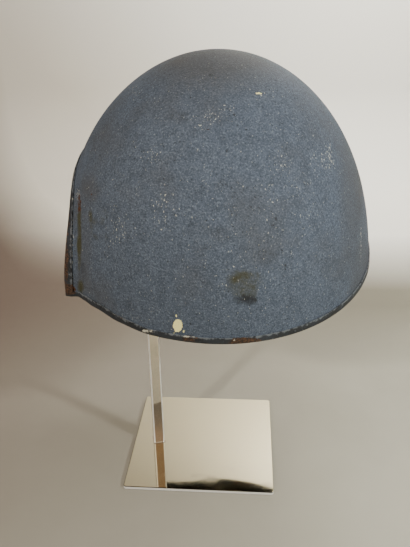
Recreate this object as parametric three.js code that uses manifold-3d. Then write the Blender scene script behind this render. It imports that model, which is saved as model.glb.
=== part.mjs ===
// Steel helmet with a folded rim band, carried by a bent bar on a square base plate.
// Millimetres, +Z up. The origin is the centre of the base plate's underside, and the
// plate's sides lie along X and Y.

import * as THREE from 'three';
import { mergeVertices } from 'three/addons/utils/BufferGeometryUtils.js';
import Module from 'manifold-3d';

const wasm = await Module();
wasm.setup();

const degrees = THREE.MathUtils.degToRad;

// Gap that neighbouring pieces keep
const SEAT_GAP = 0.3;

// Base plate: a thick square of polished sheet with small round corners
const PLATE_SIDE = 160;
const PLATE_THICKNESS = 4;
const PLATE_CORNER_RADIUS = 3;
const PLATE_EDGE_BEVEL = 0.6;

// Upright: a square bar that rises from the plate, cranks over under the crown
// and ends in a short vertical stub
const BAR_WIDTH = 12;
const BAR_EDGE_RADIUS = 1.5;
const BAR_FOOT_X = -52.5;
const BAR_FOOT_Y = -3;
const BAR_BEND_RADIUS = 24;
const BAR_CRANK_SLOPE = degrees(42);
const BAR_STUB = 24;

// Head: the round pad on the stub, shaped to the crown that rests on it
const HEAD_RADIUS = 30;
const HEAD_RIM_THICKNESS = 5;
const HEAD_OFFSET_X = 6.5;
const HEAD_OFFSET_Y = -34;

// Shell: a deep steel bowl. Its own frame has +X to the wearer's front, +Y to the
// wearer's left and its origin in the plane of the lower edge
const SHELL_FRONT_REACH = 161.9;
const SHELL_REAR_REACH = 152.1;
const SHELL_HALF_WIDTH = 150;
const SHELL_HEIGHT = 206.3;
const SHELL_WALL = 1.4;
const SKIRT_SPREAD = 5.2;
const SPREAD_POWER = 4;
const PROFILE_POWER_UP = 2.09;
const PROFILE_POWER_OUT = 1.91;
const PLAN_POWER = 2.08;

// Face opening: a tall arch cut in the shell's front, with a lip turned outwards
const OPENING_HALF_ANGLE = degrees(41.3);
const BROW_HEIGHT = 104;
const ARCH_POWER = 3;
const TIP_DROP = 6;
const LIP_WIDTH = 17;
const LIP_FLARE_AT_TIP = 9.5;
const LIP_FLARE_AT_BROW = 0.5;
const LIP_CURVE = 1.6;

// The flare tapers between these two shares of the climb from tip to brow
const FLARE_TAPER = [0.1, 1.0];

// Lower edge between the two front tips. Along is the share of the turn from a tip to
// the middle of the back, and rise is a share of the tip's drop, above the edge's plane
const LOWER_EDGE = [
  { along: 0, rise: -1.0 },
  { along: 0.039, rise: -0.2 },
  { along: 0.083, rise: 0.35 },
  { along: 0.14, rise: 0.7 },
  { along: 0.198, rise: 0.4 },
  { along: 0.285, rise: 0.0 },
  { along: 1, rise: 0.0 },
];

// Rim band: a U-shaped strip folded over the whole edge of the shell. The shell has a
// row of facets beside the edge that is a little deeper than the band
const BAND_DEPTH = 6.6;
const BAND_SHEET = 0.8;
const BAND_GAP = 0.55;
const BAND_STRIP = 1.2 * BAND_DEPTH;

// Where the helmet hangs: the centre of its lower edge above the plate, the heading of
// its front from +X, the rise of its front and the drop of its left side
const HELMET_X = 19.1;
const HELMET_Y = 54;
const HELMET_Z = 229.2;
const HELMET_HEADING = degrees(168.9);
const HELMET_FRONT_UP = degrees(1.5);
const HELMET_LEFT_DOWN = degrees(12.2);

// Fineness of the facets. The skirt's first step from a tip is longer than the lip is
// wide, so that the rows beside both edges meet at the tip without a fold
const OPENING_STEPS = 30;
const SKIRT_STEPS = 58;
const SKIRT_TIP_STEP = 1.25 * LIP_WIDTH / SHELL_HALF_WIDTH;
const FAN_ROWS = [0.1, 0.2, 0.3, 0.4, 0.5, 0.6, 0.7, 0.8, 0.88, 0.95];
const FAN_HUB = new THREE.Vector2(-0.4, 0);
const BEND_STEPS = 4;
const HEAD_SIDES = 32;

// Height of the point that the room under the shell is closed to
const HOLLOW_MIDDLE = SHELL_HEIGHT / 5;

const chrome = new THREE.MeshStandardMaterial({ color: 0xd2d0cb, roughness: 0.06, metalness: 1 });
const bluePaint = new THREE.MeshStandardMaterial({ color: 0x4c5765, roughness: 0.75, metalness: 0.1 });
const bandPaint = new THREE.MeshStandardMaterial({ color: 0x434a55, roughness: 0.7, metalness: 0.2 });

// The power of a number that keeps its sign
function signedPower(value, power) {
  return Math.sign(value) * Math.abs(value) ** power;
}

// The bowl's mid surface. A point of it is given by a flat vector from the crown: its
// direction is the angle in plan, and its length is 0 at the crown and 1 at the lower edge
function bowlPoint(flat) {
  const down = flat.length();
  const angle = Math.atan2(flat.y, flat.x);
  const height = signedPower(Math.cos(down * Math.PI / 2), 2 / PROFILE_POWER_UP);
  const out = down < 1 ? Math.sin(down * Math.PI / 2) ** (2 / PROFILE_POWER_OUT) : 1;
  const reach = Math.cos(angle) > 0 ? SHELL_FRONT_REACH : SHELL_REAR_REACH;
  const spread = SKIRT_SPREAD * (1 - height) ** SPREAD_POWER;
  const x = signedPower(Math.cos(angle), 2 / PLAN_POWER) * out;
  const y = signedPower(Math.sin(angle), 2 / PLAN_POWER) * out;
  return new THREE.Vector3(x * (reach + spread), y * (SHELL_HALF_WIDTH + spread), height * SHELL_HEIGHT);
}

// The flat vector of the point at one angle in plan and one height above the lower edge
function flatVector(angle, height) {
  const up = signedPower(height / SHELL_HEIGHT, PROFILE_POWER_UP / 2);
  const down = Math.acos(up) / (Math.PI / 2);
  return new THREE.Vector2(down * Math.cos(angle), down * Math.sin(angle));
}

function lowerEdgeHeight(along) {
  const next = Math.max(1, LOWER_EDGE.findIndex((row) => row.along >= along));
  const from = LOWER_EDGE[next - 1];
  const to = LOWER_EDGE[next];
  const share = THREE.MathUtils.smoothstep(along, from.along, to.along);
  return THREE.MathUtils.lerp(from.rise, to.rise, share) * TIP_DROP;
}

// The edge of the sheet: first the arch from the right tip over the brow to the left
// tip, then the lower edge round the back to where it began
function edgeLoop() {
  const loop = [];
  for (let i = 0; i < OPENING_STEPS; i += 1) {
    const turn = -Math.PI / 2 + Math.PI * i / OPENING_STEPS;
    const angle = OPENING_HALF_ANGLE * signedPower(Math.sin(turn), 2 / ARCH_POWER);
    const rise = Math.abs(Math.cos(turn)) ** (2 / ARCH_POWER);
    loop.push(flatVector(angle, -TIP_DROP + (BROW_HEIGHT + TIP_DROP) * rise));
  }
  const halfSkirt = Math.PI - OPENING_HALF_ANGLE;
  const evenStep = 2 * (halfSkirt - SKIRT_TIP_STEP) / (SKIRT_STEPS - 2);
  for (let i = 0; i < SKIRT_STEPS; i += 1) {
    const turn = i === 0 ? 0 : SKIRT_TIP_STEP + (i - 1) * evenStep;
    const along = 1 - Math.abs(turn / halfSkirt - 1);
    loop.push(flatVector(OPENING_HALF_ANGLE + turn, lowerEdgeHeight(along)));
  }
  return loop;
}

// The step in the flat vector that moves a point of the bowl by a given vector in space
function flatStep(flat, move) {
  const nudge = 1e-3;
  const here = bowlPoint(flat);
  const alongX = bowlPoint(new THREE.Vector2(flat.x + nudge, flat.y)).sub(here).divideScalar(nudge);
  const alongY = bowlPoint(new THREE.Vector2(flat.x, flat.y + nudge)).sub(here).divideScalar(nudge);
  const xx = alongX.dot(alongX);
  const xy = alongX.dot(alongY);
  const yy = alongY.dot(alongY);
  const mx = alongX.dot(move);
  const my = alongY.dot(move);
  const area = xx * yy - xy * xy;
  return new THREE.Vector2((yy * mx - xy * my) / area, (xx * my - xy * mx) / area);
}

function bowlNormal(flat) {
  const nudge = 1e-3;
  const here = bowlPoint(flat);
  const alongX = bowlPoint(new THREE.Vector2(flat.x + nudge, flat.y)).sub(here);
  const alongY = bowlPoint(new THREE.Vector2(flat.x, flat.y + nudge)).sub(here);
  return alongX.cross(alongY).normalize();
}

// The vectors that lead from each edge point into the sheet, square to the edge on
// both sides of a corner
function inwardVectors(loop) {
  const points = loop.map(bowlPoint);
  const count = loop.length;
  const sides = points.map((point, i) => {
    const along = points[(i + 1) % count].clone().sub(point);
    return bowlNormal(loop[i]).cross(along).normalize();
  });
  return sides.map((after, i) => {
    const before = sides[(i + count - 1) % count];
    return before.clone().add(after).divideScalar(1 + before.dot(after));
  });
}

// Rows of points from the edge to the hub of the fan at the back of the bowl. The first
// three rows run beside the edge, and the others fan in to the hub
function shellRows() {
  const loop = edgeLoop();
  const inward = inwardVectors(loop);
  const beside = (distance) => loop.map((flat, i) => (
    flat.clone().add(flatStep(flat, inward[i].clone().multiplyScalar(distance)))
  ));
  const strips = [loop, beside(BAND_STRIP), beside(LIP_WIDTH)];
  const last = strips[strips.length - 1];
  const fan = FAN_ROWS.map((share) => last.map((flat) => flat.clone().lerp(FAN_HUB, share)));
  const lipLine = loop.slice(0, OPENING_STEPS + 1).map(bowlPoint);
  return [...strips, ...fan].map((row) => row.map((flat) => turnedOut(flat, lipLine)));
}

// A point of the bowl moved outwards where it lies in the lip of the face opening
function turnedOut(flat, lipLine) {
  const point = bowlPoint(flat);
  let distance = Infinity;
  const segment = new THREE.Line3();
  const nearest = new THREE.Vector3();
  for (let i = 0; i + 1 < lipLine.length; i += 1) {
    segment.set(lipLine[i], lipLine[i + 1]);
    segment.closestPointToPoint(point, true, nearest);
    distance = Math.min(distance, nearest.distanceTo(point));
  }
  const share = Math.max(0, 1 - distance / LIP_WIDTH);
  const climb = (point.z + TIP_DROP) / (BROW_HEIGHT + TIP_DROP);
  const taper = THREE.MathUtils.smoothstep(climb, ...FLARE_TAPER);
  const flare = THREE.MathUtils.lerp(LIP_FLARE_AT_TIP, LIP_FLARE_AT_BROW, taper);
  return point.addScaledVector(bowlNormal(flat), flare * share ** LIP_CURVE);
}

// An indexed geometry from plain vectors and corner numbers
function indexedGeometry(points, index) {
  const geometry = new THREE.BufferGeometry().setFromPoints(points);
  geometry.setIndex(index);
  return geometry;
}

// The shell's mid surface as points, unit normals and triangles that face outwards
function shellSheet() {
  const rows = shellRows();
  const count = rows[0].length;
  const points = rows.flat();
  const hub = points.length;
  points.push(bowlPoint(FAN_HUB));
  const index = [];
  for (let r = 0; r + 1 < rows.length; r += 1) {
    for (let i = 0; i < count; i += 1) {
      const next = (i + 1) % count;
      const a = r * count + i;
      const b = r * count + next;
      index.push(a, b, b + count, a, b + count, a + count);
    }
  }
  for (let i = 0; i < count; i += 1) {
    index.push(hub - count + i, hub - count + (i + 1) % count, hub);
  }
  const geometry = indexedGeometry(points, index);
  geometry.computeVertexNormals();
  const normals = points.map((_, i) => (
    new THREE.Vector3().fromBufferAttribute(geometry.attributes.normal, i)
  ));
  return { points, normals, index, count };
}

const sheet = shellSheet();

function sheetOffset(distance) {
  return sheet.points.map((point, i) => point.clone().addScaledVector(sheet.normals[i], distance));
}

function flipped(index, shift) {
  const turned = [];
  for (let i = 0; i < index.length; i += 3) {
    turned.push(index[i] + shift, index[i + 2] + shift, index[i + 1] + shift);
  }
  return turned;
}

// The wall of the shell: its outer and inner faces, joined along the edge
function shellGeometry() {
  const outer = sheetOffset(SHELL_WALL / 2);
  const inner = sheetOffset(-SHELL_WALL / 2);
  const shift = outer.length;
  const index = [...sheet.index, ...flipped(sheet.index, shift)];
  for (let i = 0; i < sheet.count; i += 1) {
    const next = (i + 1) % sheet.count;
    index.push(i, shift + i, shift + next, i, shift + next, next);
  }
  return indexedGeometry([...outer, ...inner], index);
}

// The room under the shell, a seat gap clear of it, closed across the hollow
function hollowGeometry() {
  const inner = sheetOffset(-SHELL_WALL / 2 - SEAT_GAP);
  const middle = inner.length;
  const index = [...sheet.index];
  for (let i = 0; i < sheet.count; i += 1) {
    index.push((i + 1) % sheet.count, i, middle);
  }
  return indexedGeometry([...inner, new THREE.Vector3(0, 0, HOLLOW_MIDDLE)], index);
}

// A closed skin through rings of points. Rings that aren't joined in a loop get flat ends.
// The sides listed in crossed are split along their other diagonal
function skinnedRings(rings, joined, crossed = []) {
  const size = rings[0].length;
  const index = [];
  const last = joined ? rings.length : rings.length - 1;
  for (let r = 0; r < last; r += 1) {
    const here = r * size;
    const there = ((r + 1) % rings.length) * size;
    for (let i = 0; i < size; i += 1) {
      const next = (i + 1) % size;
      if (crossed.includes(i)) {
        index.push(here + i, here + next, there + i, here + next, there + next, there + i);
      } else {
        index.push(here + i, here + next, there + next, here + i, there + next, there + i);
      }
    }
  }
  if (!joined) {
    const end = last * size;
    for (let i = 1; i + 1 < size; i += 1) {
      index.push(0, i + 1, i, end, end + i, end + i + 1);
    }
  }
  return indexedGeometry(rings.flat(), index);
}

// The band's U section at each edge point: depth runs into the sheet, side runs out of it
function bandGeometry() {
  const inside = SHELL_WALL / 2 + BAND_GAP;
  const outside = inside + BAND_SHEET;
  const web = -BAND_GAP - BAND_SHEET;
  const section = [
    { depth: BAND_DEPTH, side: outside },
    { depth: web, side: outside },
    { depth: web, side: -outside },
    { depth: BAND_DEPTH, side: -outside },
    { depth: BAND_DEPTH, side: -inside },
    { depth: -BAND_GAP, side: -inside },
    { depth: -BAND_GAP, side: inside },
    { depth: BAND_DEPTH, side: inside },
  ];
  const rings = [];
  for (let i = 0; i < sheet.count; i += 1) {
    const edge = sheet.points[i];
    const into = sheet.points[i + sheet.count].clone().sub(edge).divideScalar(BAND_STRIP);
    rings.push(section.map(({ depth, side }) => (
      edge.clone().addScaledVector(into, depth).addScaledVector(sheet.normals[i], side)
    )));
  }
  const towardsWeb = section.flatMap(({ depth }, i) => (
    depth > section[(i + 1) % section.length].depth ? [i] : []
  ));
  return skinnedRings(rings, true, towardsWeb);
}

function plateGeometry() {
  const half = PLATE_SIDE / 2 - PLATE_EDGE_BEVEL;
  const radius = PLATE_CORNER_RADIUS;
  const outline = new THREE.Shape();
  outline.moveTo(half - radius, -half);
  outline.absarc(half - radius, -half + radius, radius, -Math.PI / 2, 0);
  outline.absarc(half - radius, half - radius, radius, 0, Math.PI / 2);
  outline.absarc(-half + radius, half - radius, radius, Math.PI / 2, Math.PI);
  outline.absarc(-half + radius, -half + radius, radius, Math.PI, Math.PI * 1.5);
  const geometry = new THREE.ExtrudeGeometry(outline, {
    depth: PLATE_THICKNESS - 2 * PLATE_EDGE_BEVEL,
    bevelThickness: PLATE_EDGE_BEVEL,
    bevelSize: PLATE_EDGE_BEVEL,
    bevelSegments: 1,
    curveSegments: 4,
  });
  return geometry.translate(0, 0, PLATE_EDGE_BEVEL);
}

// A square with round corners, as distances across and along the bar
function barSection() {
  const half = BAR_WIDTH / 2 - BAR_EDGE_RADIUS;
  const section = [];
  for (let corner = 0; corner < 4; corner += 1) {
    const middle = new THREE.Vector2(half, half).rotateAround(new THREE.Vector2(), corner * Math.PI / 2);
    for (let i = 0; i <= 2; i += 1) {
      const turn = (corner + i / 2) * Math.PI / 2;
      section.push(middle.clone().add(
        new THREE.Vector2(Math.cos(turn), Math.sin(turn)).multiplyScalar(BAR_EDGE_RADIUS),
      ));
    }
  }
  return section;
}

// The bar's centre line in its upright plane: reach across, height and slope from level
function barLine(reach, top) {
  const fromPlumb = Math.PI / 2 - BAR_CRANK_SLOPE;
  const setback = BAR_BEND_RADIUS * Math.tan(fromPlumb / 2);
  const upperBend = top - BAR_STUB;
  const lowerBend = upperBend - reach * Math.tan(BAR_CRANK_SLOPE);
  const line = [{ across: 0, height: PLATE_THICKNESS + SEAT_GAP, plumb: 0 }];
  for (let i = 0; i <= BEND_STEPS; i += 1) {
    const turn = fromPlumb * i / BEND_STEPS;
    line.push({
      across: BAR_BEND_RADIUS * (1 - Math.cos(turn)),
      height: lowerBend - setback + BAR_BEND_RADIUS * Math.sin(turn),
      plumb: turn,
    });
  }
  for (let i = BEND_STEPS; i >= 0; i -= 1) {
    const turn = fromPlumb * i / BEND_STEPS;
    line.push({
      across: reach - BAR_BEND_RADIUS * (1 - Math.cos(turn)),
      height: upperBend + setback - BAR_BEND_RADIUS * Math.sin(turn),
      plumb: turn,
    });
  }
  line.push({ across: reach, height: top, plumb: 0 });
  return line;
}

function barGeometry(reach, top) {
  const section = barSection();
  const rings = barLine(reach, top).map(({ across, height, plumb }) => section.map((spot) => (
    new THREE.Vector3(
      across + spot.x * Math.cos(plumb),
      spot.y,
      height - spot.x * Math.sin(plumb),
    )
  )));
  return skinnedRings(rings, false);
}

// A closed geometry as a solid that can be cut, and back again
function toSolid(geometry) {
  const bare = geometry.clone();
  bare.deleteAttribute('normal');
  bare.deleteAttribute('uv');
  const merged = mergeVertices(bare);
  return new wasm.Manifold(new wasm.Mesh({
    numProp: 3,
    vertProperties: new Float32Array(merged.attributes.position.array),
    triVerts: new Uint32Array(merged.index.array),
  }));
}

function toGeometry(solid) {
  const mesh = solid.getMesh();
  const geometry = new THREE.BufferGeometry();
  geometry.setAttribute('position', new THREE.BufferAttribute(new Float32Array(mesh.vertProperties), 3));
  geometry.setIndex(new THREE.BufferAttribute(new Uint32Array(mesh.triVerts), 1));
  return geometry;
}

// Where the helmet hangs
const helmet = new THREE.Group();
helmet.position.set(HELMET_X, HELMET_Y, HELMET_Z);
helmet.rotation.set(-HELMET_LEFT_DOWN, -HELMET_FRONT_UP, HELMET_HEADING, 'ZYX');
helmet.updateMatrixWorld(true);

const shell = new THREE.Mesh(shellGeometry(), bluePaint);
shell.name = 'helmet_shell';
helmet.add(shell);

const band = new THREE.Mesh(bandGeometry(), bandPaint);
band.name = 'rim_band';
helmet.add(band);

// The head: a short round block under the crown, cut to the hollow's shape
const headX = HELMET_X + HEAD_OFFSET_X;
const headY = HELMET_Y + HEAD_OFFSET_Y;
const hollow = hollowGeometry().applyMatrix4(helmet.matrixWorld);

function ceilingAt(x, y) {
  const ceiling = new THREE.Mesh(hollow, new THREE.MeshBasicMaterial({ side: THREE.DoubleSide }));
  const ray = new THREE.Raycaster(new THREE.Vector3(x, y, 0), new THREE.Vector3(0, 0, 1));
  const hits = ray.intersectObject(ceiling);
  return hits[hits.length - 1].point.z;
}

const rimHeights = [];
for (let i = 0; i < HEAD_SIDES; i += 1) {
  const turn = 2 * Math.PI * i / HEAD_SIDES;
  rimHeights.push(ceilingAt(headX + HEAD_RADIUS * Math.cos(turn), headY + HEAD_RADIUS * Math.sin(turn)));
}
const headBottom = Math.min(...rimHeights) - HEAD_RIM_THICKNESS;
const blankHeight = SHELL_HEIGHT / 2;
const blank = new THREE.CylinderGeometry(HEAD_RADIUS, HEAD_RADIUS, blankHeight, HEAD_SIDES)
  .rotateX(Math.PI / 2)
  .translate(headX, headY, headBottom + blankHeight / 2);
const head = new THREE.Mesh(toGeometry(toSolid(blank).intersect(toSolid(hollow))), chrome);
head.name = 'stand_head';

// The bar: its plane runs from the foot to the middle of the head
const reach = Math.hypot(headX - BAR_FOOT_X, headY - BAR_FOOT_Y);
const upright = new THREE.Mesh(barGeometry(reach, headBottom - SEAT_GAP), chrome);
upright.name = 'stand_upright';
upright.position.set(BAR_FOOT_X, BAR_FOOT_Y, 0);
upright.rotation.z = Math.atan2(headY - BAR_FOOT_Y, headX - BAR_FOOT_X);

const plate = new THREE.Mesh(plateGeometry(), chrome);
plate.name = 'stand_base';

const group = new THREE.Group();
group.add(plate, upright, head, helmet);

export default group;
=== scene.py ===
# %% [markdown]
# # A steel helmet on its display stand
#
# The real object is a deep steel helmet in worn blue-grey paint. It hangs on a bent bar
# over a square plate of polished steel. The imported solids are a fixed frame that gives
# every size and place, and this lesson dresses them. The bowl and the rim band follow
# rules, so Geometry Nodes make them, and the wear is painted on as attributes of the mesh.

# %% Load the frame
import math

import bpy
import numpy as np
from mathutils import Matrix, Vector
from mathutils.bvhtree import BVHTree
from mathutils.geometry import delaunay_2d_cdt


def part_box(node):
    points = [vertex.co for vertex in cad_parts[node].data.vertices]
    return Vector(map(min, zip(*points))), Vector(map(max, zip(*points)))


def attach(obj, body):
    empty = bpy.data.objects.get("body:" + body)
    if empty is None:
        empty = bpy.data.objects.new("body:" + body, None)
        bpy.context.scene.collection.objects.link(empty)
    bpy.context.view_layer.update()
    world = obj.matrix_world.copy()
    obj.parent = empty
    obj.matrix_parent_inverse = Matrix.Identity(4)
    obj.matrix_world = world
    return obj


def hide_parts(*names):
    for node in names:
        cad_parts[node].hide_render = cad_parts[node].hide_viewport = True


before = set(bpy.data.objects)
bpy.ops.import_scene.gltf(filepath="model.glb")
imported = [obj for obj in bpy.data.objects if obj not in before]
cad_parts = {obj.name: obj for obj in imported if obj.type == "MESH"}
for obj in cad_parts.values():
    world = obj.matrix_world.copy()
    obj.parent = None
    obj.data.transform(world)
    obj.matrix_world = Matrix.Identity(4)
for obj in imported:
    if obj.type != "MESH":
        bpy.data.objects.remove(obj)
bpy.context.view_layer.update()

MM = 0.001
print("nodes", sorted(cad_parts))

# %% [markdown]
# ## The camera
#
# The photograph was taken from a little above the crown, looking down at the plate. The
# focal length is written in pixels of the photograph's long side and turned into a lens.
# The same camera also says where a mark that is seen at some pixel lies on the helmet.

# %% Camera
PHOTO_WIDTH = 410
PHOTO_HEIGHT = 547
FOCAL_PIXELS = 594.97
CAMERA_PLACE = Vector((0.04810, -0.55661, 0.47288))
CAMERA_HEADING = math.radians(4.432)
CAMERA_DOWN = math.radians(24.4616)
CAMERA_ROLL = math.radians(-0.8612)

camera = bpy.data.objects.new("camera", bpy.data.cameras.new("camera"))
bpy.context.scene.collection.objects.link(camera)
bpy.context.scene.camera = camera
camera.data.sensor_width = 36
camera.data.lens = 36 * FOCAL_PIXELS / PHOTO_HEIGHT
camera.data.clip_start = 0.02
turn = (
    Matrix.Rotation(CAMERA_HEADING, 3, "Z")
    @ Matrix.Rotation(math.pi / 2 - CAMERA_DOWN, 3, "X")
    @ Matrix.Rotation(CAMERA_ROLL, 3, "Z")
)
camera.matrix_world = Matrix.Translation(CAMERA_PLACE) @ turn.to_4x4()
print("lens", round(camera.data.lens, 2), "mm")


def photo_pixels(points):
    """Where points of the row frame lie in the photograph."""
    local = (points - np.array(CAMERA_PLACE)) @ np.array(turn)
    x = PHOTO_WIDTH / 2 - FOCAL_PIXELS * local[:, 0] / local[:, 2]
    y = PHOTO_HEIGHT / 2 + FOCAL_PIXELS * local[:, 1] / local[:, 2]
    return np.column_stack((x, y))


# %% [markdown]
# ## The rule of the bowl
#
# The shell is pressed from one flat sheet. Its shape is a rule: a flat vector from the
# crown says how far down the bowl a point lies, from 0 at the crown to 1 at the lower
# edge, and in which direction. Two rounded powers turn that into height and reach. The
# sizes are those of the frame's solids.

# %% Sizes of the bowl
FRONT_REACH = 161.9 * MM
REAR_REACH = 152.1 * MM
HALF_WIDTH = 150 * MM
SHELL_HEIGHT = 206.3 * MM
SHELL_WALL = 1.4 * MM
SKIRT_SPREAD = 5.2 * MM
SPREAD_POWER = 4
PROFILE_POWER_UP = 2.09
PROFILE_POWER_OUT = 1.91
PLAN_POWER = 2.08

OPENING_HALF_ANGLE = math.radians(41.3)
BROW_HEIGHT = 104 * MM
ARCH_POWER = 3
TIP_DROP = 6 * MM
LIP_WIDTH = 17 * MM
LIP_FLARE_AT_TIP = 9.5 * MM
LIP_FLARE_AT_BROW = 0.5 * MM
LIP_CURVE = 1.6
FLARE_TAPER = (0.1, 1.0)
LOWER_EDGE = np.array(
    [(0, -1.0), (0.039, -0.2), (0.083, 0.35), (0.14, 0.7), (0.198, 0.4), (0.285, 0), (1, 0)]
)

HELMET = Matrix.Translation((19.1 * MM, 54 * MM, 229.2 * MM)) @ (
    Matrix.Rotation(math.radians(168.9), 4, "Z")
    @ Matrix.Rotation(math.radians(-1.5), 4, "Y")
    @ Matrix.Rotation(math.radians(-12.2), 4, "X")
)


# %% The rule as plain arithmetic
def signed_power(value, power):
    """The power of a number that keeps its sign."""
    return np.sign(value) * np.abs(value) ** power


def smooth_share(value, low, high):
    """0 below low, 1 above high, and an easy curve between them."""
    share = np.clip((value - low) / (high - low), 0, 1)
    return share * share * (3 - 2 * share)


def bowl(flat):
    """Points of the bowl's middle surface for flat vectors from the crown."""
    down = np.hypot(flat[:, 0], flat[:, 1])
    angle = np.arctan2(flat[:, 1], flat[:, 0])
    height = signed_power(np.cos(down * np.pi / 2), 2 / PROFILE_POWER_UP)
    out = np.sin(np.minimum(down, 1) * np.pi / 2) ** (2 / PROFILE_POWER_OUT)
    reach = np.where(flat[:, 0] > 0, FRONT_REACH, REAR_REACH)
    spread = SKIRT_SPREAD * (1 - height) ** SPREAD_POWER
    x = signed_power(np.cos(angle), 2 / PLAN_POWER) * out * (reach + spread)
    y = signed_power(np.sin(angle), 2 / PLAN_POWER) * out * (HALF_WIDTH + spread)
    return np.column_stack((x, y, height * SHELL_HEIGHT))


def flat_at(angle, height):
    """The flat vector at an angle in plan and a height above the lower edge."""
    up = signed_power(height / SHELL_HEIGHT, PROFILE_POWER_UP / 2)
    down = np.arccos(up) / (np.pi / 2)
    return np.column_stack((down * np.cos(angle), down * np.sin(angle)))


# %% [markdown]
# ## The edge of the sheet
#
# The edge is one closed line: an arch over the face opening, and the lower edge round the
# back. Both are drawn finely and then stepped off evenly along the pressed bowl, so that
# the facets beside the edge all have the same size.

# %% Edge line
EDGE_SPACING = 2.4 * MM
FINE = 4001

swing = np.linspace(-np.pi / 2, np.pi / 2, FINE)
arch_angle = OPENING_HALF_ANGLE * signed_power(np.sin(swing), 2 / ARCH_POWER)
arch_rise = np.abs(np.cos(swing)) ** (2 / ARCH_POWER)
arch = flat_at(arch_angle, (BROW_HEIGHT + TIP_DROP) * arch_rise - TIP_DROP)

half_skirt = np.pi - OPENING_HALF_ANGLE
skirt_turn = np.linspace(0, 2 * half_skirt, FINE)
along = 1 - np.abs(skirt_turn / half_skirt - 1)
above = np.clip(np.searchsorted(LOWER_EDGE[:, 0], along), 1, len(LOWER_EDGE) - 1)
low_row, high_row = LOWER_EDGE[above - 1], LOWER_EDGE[above]
share = smooth_share(along, low_row[:, 0], high_row[:, 0])
skirt_height = TIP_DROP * (low_row[:, 1] + (high_row[:, 1] - low_row[:, 1]) * share)
skirt = flat_at(OPENING_HALF_ANGLE + skirt_turn, skirt_height)


def stepped_off(line):
    """A fine flat line stepped off evenly along the bowl, and each step's distance."""
    pressed = bowl(line)
    runs = np.linalg.norm(np.diff(pressed, axis=0), axis=1)
    length = np.concatenate(([0], np.cumsum(runs)))
    steps = np.linspace(0, length[-1], round(length[-1] / EDGE_SPACING) + 1)
    even = np.column_stack([np.interp(steps, length, line[:, k]) for k in (0, 1)])
    return even[:-1], steps


arch_flat, arch_steps = stepped_off(arch)
skirt_flat, skirt_steps = stepped_off(skirt)
edge_flat = np.vstack((arch_flat, skirt_flat))
COLUMNS = len(edge_flat)
print("edge", COLUMNS, "steps,", round((arch_steps[-1] + skirt_steps[-1]) / MM), "mm")

# %% [markdown]
# ## Rows beside the edge
#
# The lip and the rim band need facets that run along the edge. Each row is the edge moved
# into the sheet. Near a tip the move leans away from the corner, so that the rows of the
# two sides meet on a mitre, as two picture frame mouldings do, and never fold over.

# %% Directions into the sheet
MITRE_REACH = 48 * MM
NUDGE = 1e-3


def slopes(flat):
    """How the bowl's points move as the flat vector moves along X and along Y."""
    here = bowl(flat)
    along_x = (bowl(flat + np.array((NUDGE, 0))) - here) / NUDGE
    along_y = (bowl(flat + np.array((0, NUDGE))) - here) / NUDGE
    return along_x, along_y


def unit(vectors):
    return vectors / np.linalg.norm(vectors, axis=1)[:, None]


def dot(first, second):
    return np.sum(first * second, axis=1)


edge = bowl(edge_flat)
edge_x, edge_y = slopes(edge_flat)
edge_normal = unit(np.cross(edge_x, edge_y))
ahead = unit(np.roll(edge, -1, axis=0) - edge)
side_after = unit(np.cross(edge_normal, ahead))
side_before = np.roll(side_after, 1, axis=0)
inward = (side_before + side_after) / (1 + dot(side_before, side_after))[:, None]

turning = round(MITRE_REACH / EDGE_SPACING)
for tip in (0, len(arch_flat)):
    for way in (1, -1):
        settled = inward[(tip + way * turning) % COLUMNS]
        for k in range(1, turning):
            share = k / turning
            inward[(tip + way * k) % COLUMNS] = (1 - share) * inward[tip] + share * settled

xx, xy, yy = dot(edge_x, edge_x), dot(edge_x, edge_y), dot(edge_y, edge_y)
mx, my = dot(edge_x, inward), dot(edge_y, inward)
flat_inward = np.column_stack((yy * mx - xy * my, xx * my - xy * mx))
flat_inward /= (xx * yy - xy * xy)[:, None]

# %% Rows
BAND_ROW = 8 * MM
ROW_DEPTHS = [0, 1.2, 2.6, 4.2, 6, 8, 10, 12.2, 14.6, 17, 19.6]
rows = [edge_flat + flat_inward * depth * MM for depth in ROW_DEPTHS]
print("rows", len(rows), "of", COLUMNS)

# %% [markdown]
# ## The flat blank
#
# The rest of the sheet is filled with evenly spread points, joined into triangles by
# Delaunay's rule. A fan of long facets that meet in one pole would shade badly in the
# middle of the crown, and this blank has no pole at all.

# %% Fill the blank
GRID_STEP = 0.0098
fence = rows[-1]
xs = np.arange(-1.05, 1.05, GRID_STEP)
ys = np.arange(-1.05, 1.05, GRID_STEP * math.sqrt(3) / 2)
grid_x, grid_y = np.meshgrid(xs, ys)
grid_x[1::2] += GRID_STEP / 2
dots = np.column_stack((grid_x.ravel(), grid_y.ravel()))
inside = np.zeros(len(dots), bool)
after = np.roll(fence, -1, axis=0)
for (ax, ay), (bx, by) in zip(fence, after):
    crosses = (dots[:, 1] < ay) != (dots[:, 1] < by)
    if ay != by:
        inside ^= crosses & (dots[:, 0] < ax + (dots[:, 1] - ay) * (bx - ax) / (by - ay))
dots = dots[inside]
clear = np.full(len(dots), np.inf)
for spot in fence:
    clear = np.minimum(clear, np.hypot(dots[:, 0] - spot[0], dots[:, 1] - spot[1]))
dots = dots[clear > 0.6 * GRID_STEP]

fill = np.vstack((fence, dots))
found = delaunay_2d_cdt(
    [Vector(spot) for spot in fill.tolist()], [], [list(range(COLUMNS))], 1, 1e-7
)
fill_faces, fill_origin = found[2], found[3]
print("filled with", len(dots), "points and", len(fill_faces), "triangles")

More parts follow.
